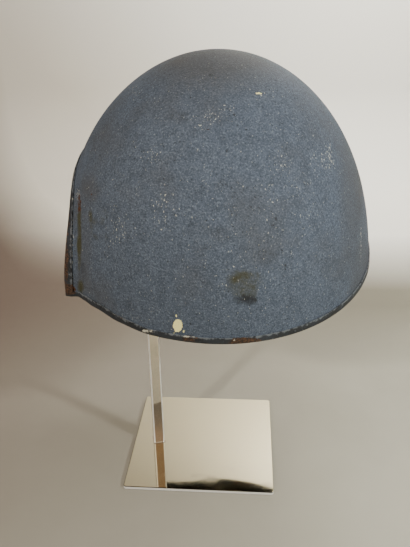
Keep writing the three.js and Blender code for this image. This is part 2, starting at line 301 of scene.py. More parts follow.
# %% Join rows and filling
last_row = (len(rows) - 1) * COLUMNS
index_of = [last_row + min(origin) for origin in fill_origin]
flat_points = np.vstack(rows[:-1] + [fill])
faces = []
for r in range(len(rows) - 1):
    for i in range(COLUMNS):
        j = (i + 1) % COLUMNS
        a, b = r * COLUMNS + i, r * COLUMNS + j
        faces.append((a, b, b + COLUMNS, a + COLUMNS))
for face in fill_faces:
    corners = [index_of[k] for k in face]
    a, b, c = flat_points[corners]
    if (b[0] - a[0]) * (c[1] - a[1]) < (b[1] - a[1]) * (c[0] - a[0]):
        corners.reverse()
    faces.append(tuple(corners))
print("blank of", len(flat_points), "points")

# %% [markdown]
# ## Notes on the blank
#
# A maker would pencil lines on the sheet before pressing it. Here the lines are attributes
# on the points: how near the lip's edge a point lies, how far it has climbed towards the
# brow, and how far it is from the edge.

# %% Write the notes
pressed_rows = bowl(flat_points[: len(rows) * COLUMNS])
lip_line = bowl(np.vstack((arch_flat, skirt_flat[:1])))
start, run = lip_line[:-1], np.diff(lip_line, axis=0)
to_lip = np.full(len(pressed_rows), np.inf)
for begin, step in zip(start, run):
    t = np.clip((pressed_rows - begin) @ step / (step @ step), 0, 1)
    gap = np.linalg.norm(pressed_rows - begin - t[:, None] * step, axis=1)
    to_lip = np.minimum(to_lip, gap)

lip_note = np.zeros(len(flat_points))
lip_note[: len(to_lip)] = np.maximum(0, 1 - to_lip / LIP_WIDTH)
climb = (bowl(flat_points)[:, 2] + TIP_DROP) / (BROW_HEIGHT + TIP_DROP)
brow_note = smooth_share(climb, *FLARE_TAPER)
edge_note = np.full(len(flat_points), ROW_DEPTHS[-1] * MM)
edge_note[: len(pressed_rows)] = np.repeat(ROW_DEPTHS, COLUMNS) * MM


def write_note(mesh, name, values):
    """Keeps one number for each point of a mesh."""
    note = mesh.attributes.new(name, "FLOAT", "POINT")
    note.data.foreach_set("value", np.asarray(values, np.float32))


def plain_object(name, points, faces):
    """An object at the origin from points in metres and faces."""
    mesh = bpy.data.meshes.new(name)
    mesh.from_pydata(np.asarray(points).tolist(), [], [tuple(f) for f in faces])
    made = bpy.data.objects.new(name, mesh)
    bpy.context.scene.collection.objects.link(made)
    return made


flat_zero = np.zeros(len(flat_points))
blank = plain_object("blank", np.column_stack((flat_points, flat_zero)), faces)
write_note(blank.data, "lip", lip_note)
write_note(blank.data, "brow", brow_note)
write_note(blank.data, "edge_distance", edge_note)

# %% [markdown]
# ## Helpers for node trees
#
# Geometry Nodes and materials are both trees of small nodes. These helpers place one node
# and give back the socket that holds its result, so that a formula reads like a formula.


# %% Small node helpers
def place(tree, kind, inputs=(), output=0, **settings):
    """One node with its settings. Inputs are values or sockets, by number or name."""
    node = tree.nodes.new(kind)
    for key, value in settings.items():
        setattr(node, key, value)
    pairs = inputs.items() if isinstance(inputs, dict) else enumerate(inputs)
    for key, value in pairs:
        if isinstance(value, bpy.types.NodeSocket):
            tree.links.new(value, node.inputs[key])
        elif value is not None:
            node.inputs[key].default_value = value
    return node.outputs[output]


def split(tree, vector):
    """The three parts of a vector."""
    node = tree.nodes.new("ShaderNodeSeparateXYZ")
    tree.links.new(vector, node.inputs[0])
    return node.outputs


def scaled(tree, vector, amount):
    """A vector made longer or shorter."""
    return place(tree, "ShaderNodeVectorMath", {0: vector, "Scale": amount}, operation="SCALE")


def calc(tree, operation, *values):
    """One step of arithmetic."""
    return place(tree, "ShaderNodeMath", values, operation=operation)


def times(tree, first, second):
    """One value times another."""
    return calc(tree, "MULTIPLY", first, second)


def rounded(tree, value, power):
    """The power of a number that keeps its sign."""
    size = calc(tree, "POWER", calc(tree, "ABSOLUTE", value), power)
    return times(tree, calc(tree, "SIGN", value), size)


def shape_tree(name, sizes):
    """An empty Geometry Nodes tree with named sizes, its inputs and its geometry."""
    tree = bpy.data.node_groups.new(name, "GeometryNodeTree")
    tree.interface.new_socket("Geometry", in_out="INPUT", socket_type="NodeSocketGeometry")
    for label, value in sizes.items():
        socket = tree.interface.new_socket(label, in_out="INPUT", socket_type="NodeSocketFloat")
        socket.default_value = value
    tree.interface.new_socket("Geometry", in_out="OUTPUT", socket_type="NodeSocketGeometry")
    given = tree.nodes.new("NodeGroupInput")
    return tree, given.outputs


def close_tree(tree, geometry, material):
    """Ends a tree with plain geometry in one material."""
    real = place(tree, "GeometryNodeRealizeInstances", [geometry])
    dressed = place(tree, "GeometryNodeSetMaterial", {"Geometry": real, "Material": material})
    result = tree.nodes.new("NodeGroupOutput")
    tree.links.new(dressed, result.inputs[0])


def note(tree, name, kind="FLOAT"):
    """Reads an attribute of the mesh."""
    return place(tree, "GeometryNodeInputNamedAttribute", {"Name": name}, data_type=kind)


def made_by(tree, source, name, sizes):
    """Runs a tree on an object and keeps the result as a plain new object."""
    modifier = source.modifiers.new("rule", "NODES")
    modifier.node_group = tree
    for item in tree.interface.items_tree:
        if item.in_out == "INPUT" and item.name in sizes:
            modifier[item.identifier] = sizes[item.name]
    return kept(source, name)


def kept(source, name):
    """The evaluated shape of an object as a plain mesh. The source is deleted."""
    ready = source.evaluated_get(bpy.context.evaluated_depsgraph_get())
    mesh = bpy.data.meshes.new_from_object(ready)
    mesh.name = name
    made = bpy.data.objects.new(name, mesh)
    bpy.context.scene.collection.objects.link(made)
    bpy.data.objects.remove(source)
    return made


# %% [markdown]
# ## Helpers for finishes
#
# Real paint and rust vary at many scales. Noise on Object coordinates stays fixed to the
# piece from every side. A mask is a noise pushed up or down by an attribute and then cut
# at a level, which gives a ragged edge to what would be a soft blob.


# %% Finish helpers
def new_finish(name):
    """A material, its tree and its Principled shader."""
    material = bpy.data.materials.new(name)
    material.use_nodes = True
    tree = material.node_tree
    shader = tree.nodes["Principled BSDF"]
    return material, tree, shader


def cloud(tree, scale, detail=3.0, rough=0.55, stretch=(1, 1, 1), shift=(0, 0, 0)):
    """A noise with a number of lumps per metre, from about 0.2 to 0.8."""
    coords = place(tree, "ShaderNodeTexCoord", output="Object")
    inputs = {"Vector": coords, "Location": shift, "Scale": stretch}
    placed = place(tree, "ShaderNodeMapping", inputs)
    inputs = {"Vector": placed, "Scale": scale, "Detail": detail, "Roughness": rough}
    return place(tree, "ShaderNodeTexNoise", inputs, output="Fac")


def painted_note(tree, name):
    """An attribute of the mesh in a material."""
    return place(tree, "ShaderNodeAttribute", attribute_name=name, output="Fac")


def cut(tree, value, low, high):
    """0 below low and 1 above high."""
    inputs = {"Value": value, "From Min": low, "From Max": high}
    return place(tree, "ShaderNodeMapRange", inputs)


def ragged(tree, mark, noise, low, high):
    """A mask where a mark of the mesh lies, with an edge that a noise tears."""
    return cut(tree, calc(tree, "ADD", painted_note(tree, mark), noise), low, high)


def over(tree, base, coat, mask):
    """One colour laid over another where the mask is 1."""
    node = tree.nodes.new("ShaderNodeMix")
    node.data_type = "RGBA"
    for socket, value in ((node.inputs[0], mask), (node.inputs[6], base), (node.inputs[7], coat)):
        if isinstance(value, bpy.types.NodeSocket):
            tree.links.new(value, socket)
        else:
            socket.default_value = value
    return node.outputs[2]


def level(tree, base, coat, mask):
    """One number laid over another where the mask is 1."""
    return place(tree, "ShaderNodeMix", {0: mask, 2: base, 3: coat})


def colour(code):
    """A hex colour as the shader wants it."""
    parts = [int(code[k : k + 2], 16) / 255 for k in (0, 2, 4)]
    linear = [p / 12.92 if p <= 0.04045 else ((p + 0.055) / 1.055) ** 2.4 for p in parts]
    return (*linear, 1)


def bumped(tree, shader, heights):
    """Chains height maps, each with its own depth, into the shader's normal."""
    normal = None
    for height, depth in heights:
        inputs = {"Height": height, "Distance": depth, "Strength": 1.0, "Normal": normal}
        normal = place(tree, "ShaderNodeBump", inputs)
    tree.links.new(normal, shader.inputs["Normal"])


# %% [markdown]
# ## Helmet paint
#
# The paint was mixed with ground cork to dull it, so it is matt and gritty: grains of a
# millimetre, lighter and darker, with a real bump. On top lie decades of wear: pale flecks
# where it was scratched, cream chips down to the primer, rust, dark stains and brown grime.
# The grime marks along the left and right sides of the bowl are partly painted shade, where
# those sides turn away from the light. Attributes on the mesh say where each is likely, and
# noise gives it its ragged shape.

# %% Helmet paint finish
PAINT = colour("4b5460")
PAINT_DARK = colour("20262d")
PAINT_LIGHT = colour("78818a")
GRIME_AND_SHADE = colour("3f3a31")
FLECK = colour("bdbcad")
CREAM = colour("f5eba0")
RUST = colour("573319")
RUST_DARK = colour("20160e")
STAIN = colour("17191a")
OLIVE = colour("3a3926")

helmet_paint, tree, shader = new_finish("cork_paint")
grain = cloud(tree, 640, 3, 0.7)
mottle = cloud(tree, 110, 5, 0.7)
patches = cloud(tree, 17, 3, 0.55)
patchy = times(tree, cloud(tree, 60, 5, 0.7, shift=(1, 1, 4)), 1.6)
body = over(tree, PAINT_DARK, PAINT, cut(tree, mottle, 0.0, 0.56))
body = over(tree, body, PAINT_LIGHT, times(tree, cut(tree, grain, 0.52, 0.80), 0.9))
body = over(tree, body, PAINT_DARK, times(tree, cut(tree, grain, 0.47, 0.28), 0.9))
body = over(tree, body, GRIME_AND_SHADE, times(tree, cut(tree, patches, 0.50, 0.72), 0.35))

# One mask lays brown grime and also painted shade on the sides of the bowl that turn from the
# light.
grime_and_shade_mask = ragged(tree, "grime_and_shade", times(tree, mottle, 0.7), 0.55, 1.15)
body = over(tree, body, GRIME_AND_SHADE, times(tree, grime_and_shade_mask, 0.55))
body = over(tree, body, OLIVE, ragged(tree, "olive", patchy, 1.1, 1.55))
stain_mask = ragged(tree, "stain", patchy, 1.3, 1.7)
body = over(tree, body, STAIN, times(tree, stain_mask, 0.8))
pits = cut(tree, cloud(tree, 330, 2, 0.5, shift=(3, 1, 2)), 0.68, 0.74)
body = over(tree, body, STAIN, times(tree, pits, 0.75))

# %% Flecks, chips and rust in the paint
scratch_noise = cloud(tree, 700, 2, 0.5, stretch=(1, 1, 0.55), shift=(1, 5, 3))
fleck_push = times(tree, painted_note(tree, "flecks"), 0.11)
fleck_mask = cut(tree, calc(tree, "ADD", scratch_noise, fleck_push), 0.70, 0.78)
body = over(tree, body, FLECK, times(tree, fleck_mask, 0.85))
rust_noise = cloud(tree, 240, 4, 0.7, shift=(2, 2, 7))
rust_mask = ragged(tree, "rust", times(tree, rust_noise, 1.1), 1.0, 1.12)
rust_tone = over(tree, RUST_DARK, RUST, cut(tree, cloud(tree, 700, 3), 0.35, 0.62))
body = over(tree, body, rust_tone, rust_mask)
chip_mask = ragged(tree, "chip", times(tree, rust_noise, 0.8), 0.93, 0.97)
body = over(tree, body, CREAM, chip_mask)
tree.links.new(body, shader.inputs["Base Color"])

dull = level(tree, 0.62, 0.8, mottle)
dull = level(tree, dull, 0.9, rust_mask)
tree.links.new(dull, shader.inputs["Roughness"])
shader.inputs["Specular IOR Level"].default_value = 0.35
sunk = calc(tree, "SUBTRACT", 1, chip_mask)
bumped(tree, shader, [(grain, 0.0008), (sunk, 0.0003), (rust_noise, 0.00025)])
print("helmet paint:", len(tree.nodes), "nodes")

# %% [markdown]
# ## Press the bowl
#
# This tree does what the press did. It lifts the flat blank into the bowl by the rule
# above, turns the lip of the face opening outwards along the surface's own normal, and
# adds the shallow unevenness of an old pressing. The sizes are inputs of the tree.

# %% Pressing tree
BOWL_SIZES = {
    "Front reach": FRONT_REACH,
    "Rear reach": REAR_REACH,
    "Half width": HALF_WIDTH,
    "Height": SHELL_HEIGHT,
    "Skirt spread": SKIRT_SPREAD,
    "Flare at tip": LIP_FLARE_AT_TIP,
    "Flare at brow": LIP_FLARE_AT_BROW,
    "Unevenness": 0.22 * MM,
}
press, sizes = shape_tree("press the bowl", BOWL_SIZES)
place_on_blank = place(press, "GeometryNodeInputPosition")
flat_x, flat_y, _ = split(press, place_on_blank)
down = place(press, "ShaderNodeVectorMath", [place_on_blank], output="Value", operation="LENGTH")
angle = calc(press, "ARCTAN2", flat_y, flat_x)
drop = times(press, down, math.pi / 2)
height = rounded(press, calc(press, "COSINE", drop), 2 / PROFILE_POWER_UP)
sine = calc(press, "SINE", calc(press, "MINIMUM", drop, math.pi / 2))
out = calc(press, "POWER", sine, 2 / PROFILE_POWER_OUT)
skirt_part = calc(press, "POWER", calc(press, "SUBTRACT", 1, height), SPREAD_POWER)
spread = times(press, sizes["Skirt spread"], skirt_part)
in_front = calc(press, "GREATER_THAN", flat_x, 0)
more = calc(press, "SUBTRACT", sizes["Front reach"], sizes["Rear reach"])
reach = calc(press, "MULTIPLY_ADD", in_front, more, sizes["Rear reach"])


def across(direction, half_size):
    """How far out a point goes along one side of the plan."""
    bulge = rounded(press, direction, 2 / PLAN_POWER)
    size = calc(press, "ADD", half_size, spread)
    return times(press, times(press, bulge, out), size)


x = across(calc(press, "COSINE", angle), reach)
y = across(calc(press, "SINE", angle), sizes["Half width"])
z = times(press, height, sizes["Height"])
lifted = place(press, "ShaderNodeCombineXYZ", [x, y, z])
pressed = place(
    press, "GeometryNodeSetPosition", {"Geometry": sizes["Geometry"], "Position": lifted}
)

# %% Lip and unevenness
curl = calc(press, "POWER", note(press, "lip"), LIP_CURVE)
less = calc(press, "SUBTRACT", sizes["Flare at brow"], sizes["Flare at tip"])
flare = calc(press, "MULTIPLY_ADD", note(press, "brow"), less, sizes["Flare at tip"])
turned_out = times(press, curl, flare)
inputs = {"Scale": 21.0, "Detail": 2.0, "Roughness": 0.4}
waves = place(press, "ShaderNodeTexNoise", inputs)
inputs = {"Value": note(press, "edge_distance"), "From Min": 0.010, "From Max": 0.019}
inner_part = place(press, "ShaderNodeMapRange", inputs)
wave = times(press, calc(press, "SUBTRACT", waves, 0.5), inner_part)
moved = calc(press, "MULTIPLY_ADD", wave, sizes["Unevenness"], turned_out)
square_out = place(press, "GeometryNodeInputNormal")
offset = scaled(press, square_out, moved)
shaped = place(press, "GeometryNodeSetPosition", {"Geometry": pressed, "Offset": offset})
close_tree(press, shaped, helmet_paint)
sheet = made_by(press, blank, "sheet", BOWL_SIZES)
print("pressed sheet:", len(sheet.data.vertices), "points")

# %% [markdown]
# ## Where the wear and some painted shade are
#
# Each mark is written as its place in the photograph, its half width and half height in
# pixels, and its strength. Only points that face the camera take these marks. The rest of
# the helmet gets marks of the same kinds at seeded random places, and grime lies round
# the middle of the crown. The long grime marks on the left and right sides of the bowl are
# painted shade.

# %% Marks that the photograph shows
FLECKS = [
    (226, 110, 7, 5, 1.0), (212, 117, 9, 6, 1.0), (199, 123, 7, 6, 0.8),
    (137, 92, 7, 6, 0.7), (240, 88, 5, 4, 0.5), (262, 95, 7, 3, 1.0),
    (152, 155, 8, 8, 0.8), (322, 160, 10, 13, 0.8), (329, 158, 2.5, 12, 1.5),
    (322, 163, 2, 8, 1.2), (73, 238, 1.2, 45, 1.4), (281, 160, 9, 11, 0.6),
    (270, 200, 6, 15, 0.9), (293, 190, 8, 11, 0.6), (305, 215, 18, 12, 0.35),
    (163, 208, 8, 20, 0.9), (177, 208, 5, 6, 0.6), (119, 228, 9, 16, 0.7),
    (213, 173, 1.5, 1.5, 1.3), (235, 237, 1.5, 1.5, 1.2), (360, 245, 1.0, 17, 1.3),
    (104, 256, 3, 6, 0.7), (78, 195, 3, 6, 1.2), (130, 320, 16, 6, 0.6),
    (225, 290, 14, 20, 0.35), (250, 240, 60, 60, 0.15),
]
RUSTS = [
    (80, 204, 2.2, 12, 0.55), (92, 194.5, 2.2, 1.6, 0.6), (68, 262, 3, 36, 0.55),
    (71, 289, 6, 4, 0.7), (190, 337.5, 8, 3, 0.6), (208, 130, 2.2, 1.6, 0.45),
    (82, 170, 2, 20, 0.35),
]
CHIPS = [
    (178, 325, 4.4, 6.2, 1.0), (176.5, 317.5, 0.9, 4, 0.9), (183.5, 331, 2.2, 2.0, 0.62),
    (174, 333, 2.0, 1.5, 0.6), (259, 94, 5, 1.7, 0.62), (187, 336.5, 5, 1.4, 0.5),
]
STAINS = [
    (245, 300, 13, 6, 0.85), (239, 288, 7, 5, 0.5), (211, 76, 7, 3, 0.5),
    (84, 268, 2.5, 8, 0.8),
]
OLIVES = [
    (80, 236, 2.2, 34, 0.75), (91, 217, 2.5, 6, 0.6), (81, 285, 3.5, 8, 0.7),
    (245, 283, 17, 17, 0.5), (232, 262, 9, 10, 0.3), (100, 230, 14, 18, 0.3),
]
# Grime marks, and painted shade: the long marks on the left and right sides of the bowl darken
# the sides that turn from the light.
GRIMES_AND_EDGE_SHADE = [
    (110, 150, 22, 55, 0.15), (92, 190, 9, 14, 0.5), (352, 180, 14, 80, 0.5),
    (360, 270, 10, 40, 0.5), (85, 250, 8, 60, 0.45),
]

CROWN_GRIME = 52 * MM


# %% Lay the marks on the sheet
MARK_FADE = 1.6
def points_of(mesh, field="co"):
    """The places or the normals of a mesh's points."""
    source = mesh.vertices if field == "co" else mesh.vertex_normals
    values = np.zeros(len(mesh.vertices) * 3, np.float32)
    source.foreach_get("co" if field == "co" else "vector", values)
    return values.reshape(-1, 3).astype(float)


def dabs(pixels, facing, marks):
    """How strongly a list of marks touches each point."""
    total = np.zeros(len(pixels))
    for mark_x, mark_y, half_width, half_height, strength in marks:
        across = (pixels[:, 0] - mark_x) / half_width
        down = (pixels[:, 1] - mark_y) / half_height
        away = np.hypot(across, down)
        total = np.maximum(total, strength * np.clip(MARK_FADE - away, 0, 1))
    return total * facing


def scattered(points, hidden, seed, count, smallest, largest, strength):
    """Marks of one kind at random places on the side that the camera doesn't see."""
    random = np.random.default_rng(seed)
    total = np.zeros(len(points))
    low, high = points.min(0), points.max(0)
    for _ in range(count):
        size = random.uniform(smallest, largest)
        middle = points[np.argmin(np.linalg.norm(points - random.uniform(low, high), axis=1))]
        away = np.linalg.norm(points - middle, axis=1) / size
        total = np.maximum(total, random.uniform(0.5, 1) * np.clip(MARK_FADE - away, 0, 1))
    return total * strength * hidden


sheet.data.transform(HELMET)
points = points_of(sheet.data)
normals = points_of(sheet.data, "normal")
pixels = photo_pixels(points)
toward = unit(np.array(CAMERA_PLACE) - points)
facing = np.clip(dot(normals, toward) * 12 + 0.6, 0, 1)
hidden = 1 - facing
crown = np.array(HELMET @ Vector((0, 0, SHELL_HEIGHT)))
kinds = [
    ("flecks", FLECKS, 26, 6 * MM, 22 * MM, 0.9),
    ("rust", RUSTS, 16, 3 * MM, 9 * MM, 0.62),
    ("chip", CHIPS, 7, 1.5 * MM, 4 * MM, 0.7),
    ("stain", STAINS, 7, 7 * MM, 16 * MM, 0.8),
    ("olive", OLIVES, 8, 6 * MM, 16 * MM, 0.6),
    ("grime_and_shade", GRIMES_AND_EDGE_SHADE, 9, 25 * MM, 50 * MM, 0.6),
]
for seed, (name, marks, count, smallest, largest, strength) in enumerate(kinds):
    random_marks = scattered(points, hidden, seed + 11, count, smallest, largest, strength)
    values = dabs(pixels, facing, marks) + random_marks
    if name == "grime_and_shade":
        from_crown = np.linalg.norm(points - crown, axis=1) / CROWN_GRIME
        values = np.maximum(values, 0.8 * np.clip(MARK_FADE - from_crown, 0, 1))
    if name == "rust":
        lip_wear = np.clip(lip_note - 0.25, 0, 1) * 0.75
        values = np.maximum(values, lip_wear * hidden)
    write_note(sheet.data, name, values)
    print(name, "touches", int((values > 0.3).sum()), "points")

# %% [markdown]
# ## Inside of the shell
#
# Nothing is fitted inside, so the bare inner face shows from the front and from below. It
# lost most of its paint long ago and is dark brown, with orange rust in patches. Its base
# tones are near black, darker than rusted steel is, as painted shade of the hollow.

# %% Rusty inside finish with painted shade
rusty_and_shaded_inside, tree, shader = new_finish("rusty_and_shaded_inside")
large = cloud(tree, 24, 4, 0.6)
small = cloud(tree, 190, 4, 0.7)
# Painted shade: the base tones are near black, darker than rusty steel, and stand in for the
# shadow inside the hollow.
tone = over(tree, colour("0c0b0a"), colour("17120d"), cut(tree, large, 0.35, 0.6))
rust_spread = calc(tree, "ADD", large, times(tree, small, 0.5))
tone = over(tree, tone, colour("3c2413"), cut(tree, rust_spread, 0.80, 1.0))
left_paint = cut(tree, cloud(tree, 40, 3, shift=(4, 1, 1)), 0.6, 0.66)
tone = over(tree, tone, colour("23272b"), left_paint)
tree.links.new(tone, shader.inputs["Base Color"])
tree.links.new(level(tree, 0.7, 0.92, small), shader.inputs["Roughness"])
bumped(tree, shader, [(small, 0.0005)])

# %% [markdown]
# ## Give the sheet its wall
#
# The sheet becomes a shell with a Solidify modifier, half of the wall to each side. The
# inner face takes the second material.

# %% Wall
sheet.data.materials.append(rusty_and_shaded_inside)
wall = sheet.modifiers.new("wall", "SOLIDIFY")
wall.thickness = SHELL_WALL
wall.offset = 0
wall.use_even_offset = True
wall.material_offset = 1
edge_points = points[:COLUMNS]
edge_normals = normals[:COLUMNS]
band_row = points[ROW_DEPTHS.index(8) * COLUMNS :][:COLUMNS]
shell = kept(sheet, "helmet_shell_pressed")
shell.data.shade_smooth()
shell.data.set_sharp_from_angle(angle=math.radians(50))
shell_box = (points.min(0) / MM).round(1), (points.max(0) / MM).round(1)
print("shell:", len(shell.data.polygons), "faces, box", shell_box)

# %% [markdown]
# ## Rim band
#
# A thin strip is folded over the whole edge of the sheet, and its two ends meet at a seam.
# The tree gets a strip of rings along the edge. Each point knows the edge, the way into
# the sheet and the way out of it, and where it sits on the fold. From these the tree
# folds the strip to named sizes, so the same tree would fold a wider or a tighter band.

# %% Strip of rings
BAND_SIZES = {
    "Depth": 6.6 * MM,
    "Stand-off": 1.65 * MM,
    "Web": 0.95 * MM,
}
BAND_SHEET = 0.8 * MM
SEAM_PIXEL = (104.6, 307)
SEAM_GAP = 0.5 * MM

FOLD = [(1, 0), (0.9, 0), (0.6, 0), (0.3, 0), (0, 0)]
FOLD += [(0, k / 6) for k in range(1, 6)]
FOLD += [(0, 1), (0.3, 1), (0.6, 1), (0.9, 1), (1, 1)]

into_sheet = (band_row - edge_points) / BAND_ROW
edge_pixels = photo_pixels(edge_points)
edge_facing = dot(edge_normals, unit(np.array(CAMERA_PLACE) - edge_points)) > 0
seam_away = np.hypot(*(edge_pixels - SEAM_PIXEL).T) + 1000 * ~edge_facing
seam = int(np.argmin(seam_away))
order = [(seam + k) % COLUMNS for k in range(1, COLUMNS + 1)]


def ring_values(values):
    """One value for each ring, from just after the seam round to just before it."""
    gap_share = SEAM_GAP / EDGE_SPACING
    first = values[seam] + (values[order[0]] - values[seam]) * gap_share
    return np.vstack((first, values[order]))


ring_edge = ring_values(edge_points)
ring_into = ring_values(into_sheet)
ring_out = ring_values(edge_normals)
RINGS = len(ring_edge)
strip_points = np.repeat(ring_edge, len(FOLD), axis=0)
strip_faces = []
for r in range(RINGS - 1):
    for k in range(len(FOLD) - 1):
        a = r * len(FOLD) + k
        strip_faces.append((a, a + len(FOLD), a + len(FOLD) + 1, a + 1))
strip = plain_object("strip", strip_points, strip_faces)
write_note(strip.data, "leg", np.tile([leg for leg, _ in FOLD], RINGS))
write_note(strip.data, "turn", np.tile([turned for _, turned in FOLD], RINGS))
for name, values in (("into", ring_into), ("outward", ring_out)):
    vector_note = strip.data.attributes.new(name, "FLOAT_VECTOR", "POINT")
    repeated = np.repeat(values, len(FOLD), axis=0).astype(np.float32)
    vector_note.data.foreach_set("vector", repeated.ravel())
print("strip:", RINGS, "rings, seam at step", seam)

# %% [markdown]
# ## Paint on the band
#
# The band is darker than the shell, and handling has worn it: pale metal and grey primer
# along its upper fold, and orange rust in places. The same attributes carry the wear.

# %% Band finish
BAND_DARK = colour("121517")
BAND_MID = colour("23282d")
BAND_WORN = colour("6c7174")

band_paint, tree, shader = new_finish("band_paint")
fine = cloud(tree, 480, 4, 0.65)
broad = cloud(tree, 70, 4, 0.6)
tone = over(tree, BAND_DARK, BAND_MID, cut(tree, broad, 0.36, 0.62))
tone = over(tree, tone, colour("4c555e"), times(tree, cut(tree, fine, 0.56, 0.72), 0.3))
worn_noise = cloud(tree, 260, 3, 0.6, shift=(5, 0, 2))
worn = calc(tree, "ADD", worn_noise, times(tree, painted_note(tree, "worn"), 0.3))
tone = over(tree, tone, BAND_WORN, times(tree, cut(tree, worn, 0.66, 0.78), 0.75))
rust_noise = cloud(tree, 210, 4, 0.7, shift=(2, 2, 7))
rust_mask = ragged(tree, "rust", times(tree, rust_noise, 1.1), 0.98, 1.1)
rust_tone = over(tree, RUST_DARK, colour("583a22"), cut(tree, cloud(tree, 600, 3), 0.42, 0.66))
tone = over(tree, tone, rust_tone, rust_mask)
pale_mask = ragged(tree, "pale", times(tree, rust_noise, 0.9), 0.98, 1.04)
tone = over(tree, tone, colour("b9b5a3"), pale_mask)
tree.links.new(tone, shader.inputs["Base Color"])
tree.links.new(level(tree, 0.5, 0.8, broad), shader.inputs["Roughness"])
bumped(tree, shader, [(fine, 0.0002), (rust_noise, 0.0002)])

# %% Folding tree
fold, sizes = shape_tree("fold the rim band", BAND_SIZES)
turned = times(fold, note(fold, "turn"), math.pi)
depth_part = times(fold, note(fold, "leg"), sizes["Depth"])
web_part = times(fold, calc(fold, "SINE", turned), sizes["Web"])
depth = calc(fold, "SUBTRACT", depth_part, web_part)
side = times(fold, calc(fold, "COSINE", turned), sizes["Stand-off"])
into = scaled(fold, note(fold, "into", "FLOAT_VECTOR"), depth)
outward = scaled(fold, note(fold, "outward", "FLOAT_VECTOR"), side)
moved = place(fold, "ShaderNodeVectorMath", [into, outward], operation="ADD")
folded = place(fold, "GeometryNodeSetPosition", {"Geometry": sizes["Geometry"], "Offset": moved})
close_tree(fold, folded, band_paint)
band = made_by(fold, strip, "band", BAND_SIZES)

# %% Wear and thickness of the band
BAND_RUSTS = [
    (245, 341.5, 15, 4, 0.9), (70, 289, 7, 5, 0.85), (66, 262, 3, 34, 0.6),
    (68, 215, 3, 30, 0.45), (190, 339, 9, 3, 0.62), (220, 345, 12, 3, 0.5),
    (120, 317, 8, 4, 0.4),
]
BAND_PALES = [
    (148, 331, 7, 2.5, 0.62), (190, 336.5, 8, 2, 0.6), (235, 340, 3, 2, 0.6),
    (75, 200, 4, 8, 0.55), (72, 165, 4, 22, 0.5),
]
points = points_of(band.data)
pixels = photo_pixels(points)
outside = np.tile([turned < 0.5 for _, turned in FOLD], RINGS)
near = np.repeat(ring_out, len(FOLD), axis=0)
facing = np.clip(dot(near, unit(np.array(CAMERA_PLACE) - points)) * 12 + 0.6, 0, 1)
hidden = 1 - facing
legs = np.tile([leg for leg, _ in FOLD], RINGS)
write_note(band.data, "worn", np.clip(legs * 1.5 - 0.6, 0, 1) * outside)
rust = dabs(pixels, facing, BAND_RUSTS) + scattered(points, hidden, 31, 14, 0.006, 0.02, 0.75)
pale = dabs(pixels, facing, BAND_PALES) + scattered(points, hidden, 32, 9, 0.004, 0.012, 0.6)
write_note(band.data, "rust", rust)
write_note(band.data, "pale", pale)
thickness = band.modifiers.new("thickness", "SOLIDIFY")
thickness.thickness = BAND_SHEET
thickness.offset = 0
thickness.use_even_offset = True
band = kept(band, "rim_band_folded")
band.data.shade_smooth()
band.data.set_sharp_from_angle(angle=math.radians(45))
print("band:", len(band.data.polygons), "faces")

# %% [markdown]
# ## Polished steel
#
# The stand is mirror bright. A perfect mirror looks false, so the finish has faint
# smudges that change the gloss, and a long, very low wave that bends reflections slightly.
# The buffing wheel leaves the rounded edges of the bar brushed, so they scatter light. These
# edges and the plate's upright sides are also coloured near white as a painted highlight, so
# they show as white lines, and the plate's bevel faces get a dark tone as a painted
# reflection. Notes on the faces tell the finish where these faces are. The bar is buffed less
# than the plate, so it isn't a full mirror and a part of it scatters light.


# %% Polished steel finish
def polished(name, tint, mirror, wave_scale, wave_depth):
    """Mirror steel with smudges, a slight wave, a painted dark reflection and a painted
    highlight.
    """
    material, tree, shader = new_finish(name)
    smudge = cloud(tree, 32, 5, 0.65, stretch=(1, 1.8, 1))
    dust = cloud(tree, 900, 2, 0.5)
    smudges = cut(tree, smudge, 0.50, 0.72)
    gloss = level(tree, 0.045, 0.14, smudges)
    gloss = level(tree, gloss, 0.3, times(tree, cut(tree, dust, 0.7, 0.8), 0.6))
    tone = over(tree, colour(tint), colour("b4ab98"), times(tree, smudges, 0.4))
    # Painted reflection: a dark tone on the plate's bevel faces stands in for a dark reflected
    # line.
    tone = over(tree, tone, colour("4c4942"), painted_note(tree, "edge"))
    # Painted highlight: brushed faces are coloured near white, besides being rougher.
    brushed_highlight = painted_note(tree, "brushed_highlight")
    tone = over(tree, tone, colour("f4f1ea"), brushed_highlight)
    gloss = level(tree, gloss, 0.35, brushed_highlight)
    tree.links.new(tone, shader.inputs["Base Color"])
    tree.links.new(gloss, shader.inputs["Roughness"])
    tree.links.new(level(tree, mirror, 0.4, brushed_highlight), shader.inputs["Metallic"])
    bumped(tree, shader, [(cloud(tree, wave_scale, 1, 0.3), wave_depth)])
    return material


plate_steel = polished("plate_steel", "b6ad94", 1.0, 9, 0.00008)
bar_steel = polished("bar_steel", "efe6d2", 0.9, 30, 0.00004)

# %% [markdown]
# ## Base plate
#
# The plate is thick polished sheet with small round corners. Its edges are broken with a
# fine bevel. The dark and light lines along the front are painted: a dark tone on the bevel
# faces as a painted reflection, and a near white tone on the upright sides as a painted
# highlight.

# %% Plate
PLATE_SIDE = 160 * MM
PLATE_THICKNESS = 4 * MM
PLATE_CORNER = 3 * MM
PLATE_BEVEL = 0.6 * MM
CORNER_STEPS = 10

SQUARE = ((1, 1), (-1, 1), (-1, -1), (1, -1))

